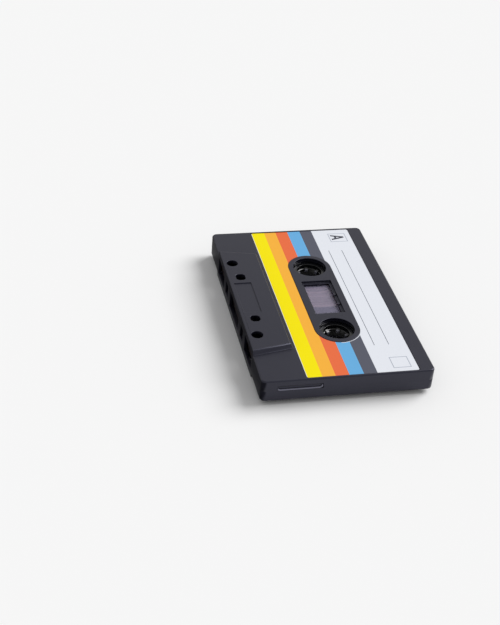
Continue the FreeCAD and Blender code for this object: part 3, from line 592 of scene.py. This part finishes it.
def print_mark(mesh):
    """The plain letter of side A: two legs that meet at the middle, and a bar between them."""
    foot, tip = MARK_Y - MARK_HEIGHT / 2, MARK_Y + MARK_HEIGHT / 2
    inner_tip = tip - MARK_HOLLOW
    inner_foot, outer_foot = (MARK_WIDTH - MARK_STROKE) / 2, (MARK_WIDTH + MARK_STROKE) / 2
    leg = [(inner_foot, foot), (outer_foot, foot), (MARK_STROKE / 2, tip), (0.0, tip), (0.0, inner_tip)]
    for side in (-1, 1):
        ink(mesh, [(MARK_X + side * a, b) for a, b in leg])
    low, high = [MARK_Y - MARK_HEIGHT * share for share in MARK_WAIST]
    wide, narrow = [inner_foot * (inner_tip - level) / (inner_tip - foot) for level in (low, high)]
    crossbar = [(-wide, low), (wide, low), (narrow, high), (-narrow, high)]
    ink(mesh, [(MARK_X + a, b) for a, b in crossbar])


LATHE_STEPS = 64


def round_ways(steps):
    """Flat ways of length one, evenly all round."""
    angles = [2 * math.pi * step / steps for step in range(steps)]
    return [(math.cos(angle), math.sin(angle)) for angle in angles]


def lathe(mesh, profile, x, y, closed=True):
    """A solid turned about an upright axis from an outline of radii and levels, as rows of vertices."""
    rows = []
    for a, b in round_ways(LATHE_STEPS):
        rows.append([vertex(mesh, x + a * radius, y + b * radius, level) for radius, level in profile])
    count = len(profile) if closed else len(profile) - 1
    for first, second in zip(rows, rows[1:] + rows[:1]):
        join(mesh, first, second, count)
    return rows


# The bead's path as Y and level, on the scoop at the +X end
LIP_PATH = [(-25.75, 6.8), (-25.65, 6.4), (-25.2, 6.2), (-10.7, 6.2), (-9.9, 6.5), (-9.65, 7.4)]
LIP_PLACE, LIP_RADIUS, LIP_STEPS = 49.88, 0.31, 12


def lip_ring(k):
    """Places round the bead at one point of its path."""
    before, after = LIP_PATH[max(k - 1, 0)], LIP_PATH[min(k + 1, len(LIP_PATH) - 1)]
    along = Vector((0, after[0] - before[0], after[1] - before[1])).normalized()
    out = Vector((1, 0, 0))
    side = along.cross(out)
    centre = Vector((LIP_PLACE, *LIP_PATH[k]))
    return [centre + (out * a + side * b) * LIP_RADIUS for a, b in round_ways(LIP_STEPS)]


def scoop_lips(mesh):
    """The rounded bead along the lower edge of each half's side scoop."""
    rings = [lip_ring(k) for k in range(len(LIP_PATH))]
    tube(mesh, [[vertex(mesh, x, y, z) for x, y, z in ring] for ring in rings])
    tube(mesh, [[vertex(mesh, -x, y, 2 * MIDDLE - z) for x, y, z in ring] for ring in rings])


CLIP_PLACES, CLIP_HALF = (-2.0, 4.3), 0.7
CLIP_FRONT, CLIP_REAR = 7.75, 8.6
CLIP_LEVELS = (9.4, 9.75)


def window_clips(mesh):
    """The small lugs on the rear ledge of each window, which hold its pane."""
    for place in CLIP_PLACES:
        for side in (1, -1):
            x = place * side
            corners = rectangle(x - CLIP_HALF, x + CLIP_HALF, CLIP_FRONT, CLIP_REAR)
            levels = sorted(MIDDLE + side * (level - MIDDLE) for level in CLIP_LEVELS)
            block(mesh, corners, *levels)


LEDGE_INNER, LEDGE_OUTER = 4.6, 5.0
LEDGE_HALF, LEDGE_ROOT = 0.5, 0.7


def hub_ledge(x):
    """The narrow ledge half way down the inside of a hub's ring."""
    profile = [
        (LEDGE_INNER, MIDDLE - LEDGE_HALF),
        (LEDGE_OUTER, MIDDLE - LEDGE_ROOT),
        (LEDGE_OUTER, MIDDLE + LEDGE_ROOT),
        (LEDGE_INNER, MIDDLE + LEDGE_HALF),
    ]
    return lambda mesh: lathe(mesh, profile, x, HUB_Y)


# Places of the screws, with the level of side B's face at each
SCREWS = [
    (46.3, 28.9, BODY_BOTTOM),
    (-46.3, 28.9, BODY_BOTTOM),
    (40.2, -20.5, BODY_BOTTOM),
    (-40.2, -20.5, BODY_BOTTOM),
    (0.0, -20.2, 0.0),
]
SCREW_SUNK = 0.05
HEAD_RADIUS, HEAD_RIM, HEAD_CHAMFER = 1.7, 0.1, 0.08
CONE_LENGTH, SHANK_LENGTH, SHANK_RADIUS = 0.7, 7.0, 1.0
TIP_LENGTH, TIP_RADIUS = 0.2, 0.3
THREAD_PITCH, THREAD_DEPTH = 0.5, 0.14
CROSS_REACH, CROSS_HALF, CROSS_DEPTH, CROSS_TAPER = 1.05, 0.22, 0.55, 0.6


def screw_profile(face):
    """Radii and levels of a countersunk screw with a fine thread, from the face of its head on."""
    neck = face + CONE_LENGTH
    end = neck + SHANK_LENGTH
    root = SHANK_RADIUS - THREAD_DEPTH
    profile = [(HEAD_RADIUS - HEAD_CHAMFER, face), (HEAD_RADIUS, face + HEAD_RIM), (SHANK_RADIUS, neck)]
    level = neck + THREAD_PITCH
    while level < end - THREAD_PITCH:
        profile.append((root, level))
        profile.append((SHANK_RADIUS, level + THREAD_PITCH / 2))
        level += THREAD_PITCH
    return profile + [(root, end - TIP_LENGTH), (TIP_RADIUS, end)]


def cross_corners(size):
    """The twelve corners of a cross, at a share of its full size."""
    reach, half = CROSS_REACH * size, CROSS_HALF * size
    corners = []
    for a, b in round_ways(steps=4):
        for x, y in ((half, half), (half, reach), (-half, reach)):
            corners.append((x * a - y * b, x * b + y * a))
    return corners


def ring_edges(mesh, rows, k):
    """The edges all round a turned solid at one corner of its outline."""
    return [mesh.edges.get((first[k], second[k])) for first, second in zip(rows, rows[1:] + rows[:1])]


def screw(mesh, x, y, face):
    """A countersunk screw with a cross recess in its head."""
    rows = lathe(mesh, screw_profile(face), x, y, closed=False)
    mouth = outline(mesh, cross_corners(size=1.0), face, x, y)
    floor = outline(mesh, cross_corners(size=CROSS_TAPER), face + CROSS_DEPTH, x, y)
    mouth_edges = [mesh.edges.new(pair) for pair in zip(mouth, mouth[1:] + mouth[:1])]
    bmesh.ops.triangle_fill(mesh, use_beauty=True, edges=ring_edges(mesh, rows, 0) + mouth_edges)
    join(mesh, mouth, floor)
    mesh.faces.new(floor)
    bmesh.ops.triangle_fill(mesh, use_beauty=True, edges=ring_edges(mesh, rows, -1))


def screws(mesh):
    """The five screws of the shell, sunk a little into side B."""
    for x, y, face in SCREWS:
        screw(mesh, x, y, face + SCREW_SUNK)


PAD_FRONT, PAD_BACK = -30.46, -28.46
PAD_HALF_LENGTH, PAD_HALF_HEIGHT = 2.5, 1.8
PAD_ROUND, PAD_CUTS = 0.45, 14
PAD_FLUFF, FLUFF_RATE = 0.06, 3.0


def felt_pad(mesh):
    """The felt pad with rounded edges and an uneven surface."""
    bmesh.ops.create_cube(mesh, size=2.0)
    bmesh.ops.subdivide_edges(mesh, edges=mesh.edges[:], cuts=PAD_CUTS, use_grid_fill=True)
    centre = Vector((0, (PAD_FRONT + PAD_BACK) / 2, MIDDLE))
    half = Vector((PAD_HALF_LENGTH, (PAD_BACK - PAD_FRONT) / 2, PAD_HALF_HEIGHT))
    for corner in mesh.verts:
        place = Vector(a * b for a, b in zip(corner.co, half))
        inner = Vector(max(-(b - PAD_ROUND), min(b - PAD_ROUND, a)) for a, b in zip(place, half))
        fluff = PAD_FLUFF * (noise.noise(place * FLUFF_RATE) - 1.0) / 2
        corner.co = (centre + inner + (place - inner).normalized() * (PAD_ROUND + fluff)) * MM


SPRING_REST, SPRING_FOOT = -28.46, -26.96
SPRING_GAUGE, SPRING_HALF, SPRING_TAPER = 0.15, 2.0, 0.5
SPRING_FLAT, SPRING_ARM, SPRING_END = 2.6, 9.6, 10.8
SPRING_STEPS = 60


def spring_line(x):
    """How far back the spring's front face lies at a place along it."""
    share = min(max((abs(x) - SPRING_FLAT) / (SPRING_ARM - SPRING_FLAT), 0.0), 1.0)
    smooth = share * share * (3 - 2 * share)
    return SPRING_REST + (SPRING_FOOT - SPRING_REST) * smooth


def leaf_spring(mesh):
    """The leaf spring, smoothly bent, with narrower ends."""
    sections = []
    for step in range(SPRING_STEPS + 1):
        x = -SPRING_END + 2 * SPRING_END * step / SPRING_STEPS
        y = spring_line(x)
        half = SPRING_HALF - SPRING_TAPER * max(abs(x) - SPRING_ARM, 0.0)
        corners = rectangle(y, y + SPRING_GAUGE, -half, half)
        sections.append([vertex(mesh, x, a, MIDDLE + b) for a, b in corners])
    tube(mesh, sections)


def dress_nodes():
    """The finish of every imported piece, and rounder edges where they are seen."""
    for name, finish in NODE_FINISHES.items():
        coat(nodes[name], finish)
    for name in ("shell_side_a", "shell_side_b"):
        soften(nodes[name], SHELL_ROUNDING)
    for name in ("left_hub", "right_hub"):
        soften(nodes[name], HUB_ROUNDING)


def add_print():
    """The print on the label."""
    piece("label_lines", print_lines, "shell", PRINT)
    piece("label_boxes", print_boxes, "shell", PALE_PRINT)
    piece("label_mark", print_mark, "shell", DARK_PRINT)


def add_mouldings():
    """The beads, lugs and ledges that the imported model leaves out."""
    # The beads are painted pale, a painted highlight along each scoop's lower edge
    lips = piece("scoop_lips", scoop_lips, "shell", PAINTED_HIGHLIGHT)
    smooth_by_angle(lips, ROUND_ANGLE)
    piece("window_clips", window_clips, "shell", SHELL)
    for name, x in (("left", -HUB_X), ("right", HUB_X)):
        ledge = piece(f"{name}_hub_ledge", hub_ledge(x), f"{name}_reel", HUB)
        smooth_by_angle(ledge)


def add_finer_parts():
    """Finer screws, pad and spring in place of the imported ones."""
    screw_set = piece("cross_screws", screws, "shell", STEEL)
    smooth_by_angle(screw_set)
    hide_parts("shell_screws")
    felt = piece("felt_pad", felt_pad, "pad", FELT)
    smooth_by_angle(felt, ROUND_ANGLE)
    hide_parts("pressure_pad")
    spring = piece("leaf_spring", leaf_spring, "shell", BRONZE)
    smooth_by_angle(spring)
    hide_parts("pad_spring")
    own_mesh(spring)


FLOOR_REACH, FLOOR_ROUGHNESS = 3000.0, 0.9
FLOOR_SEEN, FLOOR_BOUNCE, FLOOR_MIRRORED, FLOOR_SHADE = 0.92, 0.5, 1.0, 0.12
SHADE_FROM, SHADE_FULL = -31.5, -34.0


def floor_finish():
    """The pale floor, which lights less than it shows, and mirrors darkly before the front edge."""
    finish = Finish("floor", WHITE, FLOOR_ROUGHNESS, Specular_IOR_Level=0.0)
    rays = finish.node("ShaderNodeLightPath").outputs
    y = finish.split(finish.place)["Y"]
    mirrored = finish.ranged(y, SHADE_FULL * MM, SHADE_FROM * MM, FLOOR_SHADE, FLOOR_MIRRORED)
    unseen = finish.scaled(rays["Is Glossy Ray"], FLOOR_BOUNCE, mirrored)
    finish.link(finish.scaled(rays["Is Camera Ray"], unseen, FLOOR_SEEN), "Base Color")
    return finish.material


def stage_floor():
    """A plain pale floor."""
    mesh = bmesh.new()
    bmesh.ops.create_grid(mesh, x_segments=1, y_segments=1, size=FLOOR_REACH * MM)
    data = bpy.data.meshes.new("floor")
    mesh.to_mesh(data)
    mesh.free()
    floor = bpy.data.objects.new("floor", data)
    bpy.context.scene.collection.objects.link(floor)
    coat(floor, floor_finish())


SUN_STRENGTH, SUN_SOFTNESS, SUN_LEAN, SUN_TURN = 2.56, 40.0, 47.0, 195.9
SKY_STRENGTH = 0.45
SKY_SHOWN = {"Is Glossy Ray": 0.7, "Is Transmission Ray": 1.0, "Is Camera Ray": 1.0}
PURE_WHITE = (1, 1, 1, 1)


def light_lamp():
    """A broad soft lamp."""
    lamp = bpy.data.lights.new("key", "SUN")
    lamp.energy = SUN_STRENGTH
    lamp.angle = math.radians(SUN_SOFTNESS)
    key = bpy.data.objects.new("key", lamp)
    key.rotation_euler = (math.radians(SUN_LEAN), 0, math.radians(SUN_TURN))
    bpy.context.scene.collection.objects.link(key)


def light_sky():
    """An even sky, which lights less than it shows."""
    world = bpy.data.worlds.new("sky")
    world.use_nodes = True
    bpy.context.scene.world = world
    graph = Graph(world.node_tree)
    background = world.node_tree.nodes["Background"]
    background.inputs["Color"].default_value = PURE_WHITE
    rays = graph.node("ShaderNodeLightPath").outputs
    level = SKY_STRENGTH
    for ray, strength in SKY_SHOWN.items():
        level = graph.scaled(rays[ray], level, strength)
    graph.tree.links.new(level, background.inputs["Strength"])


def place_camera():
    """The camera of the photograph."""
    data = bpy.data.cameras.new("camera")
    data.sensor_fit = "HORIZONTAL"
    data.sensor_width = SENSOR_WIDTH
    data.lens = CAMERA_LENS
    data.clip_start, data.clip_end = CAMERA_CLIP
    camera = bpy.data.objects.new("camera", data)
    place, target = Vector(CAMERA_PLACE) * MM, Vector(CAMERA_TARGET) * MM
    aim = (target - place).to_track_quat("-Z", "Y")
    roll = Quaternion((0, 0, 1), math.radians(CAMERA_ROLL))
    camera.location = place
    camera.rotation_mode = "QUATERNION"
    camera.rotation_quaternion = aim @ roll
    bpy.context.scene.collection.objects.link(camera)
    bpy.context.scene.camera = camera


dress_nodes()
add_print()
add_mouldings()
add_finer_parts()
stage_floor()
light_lamp()
light_sky()
place_camera()
bpy.context.scene.view_settings.view_transform = "Standard"
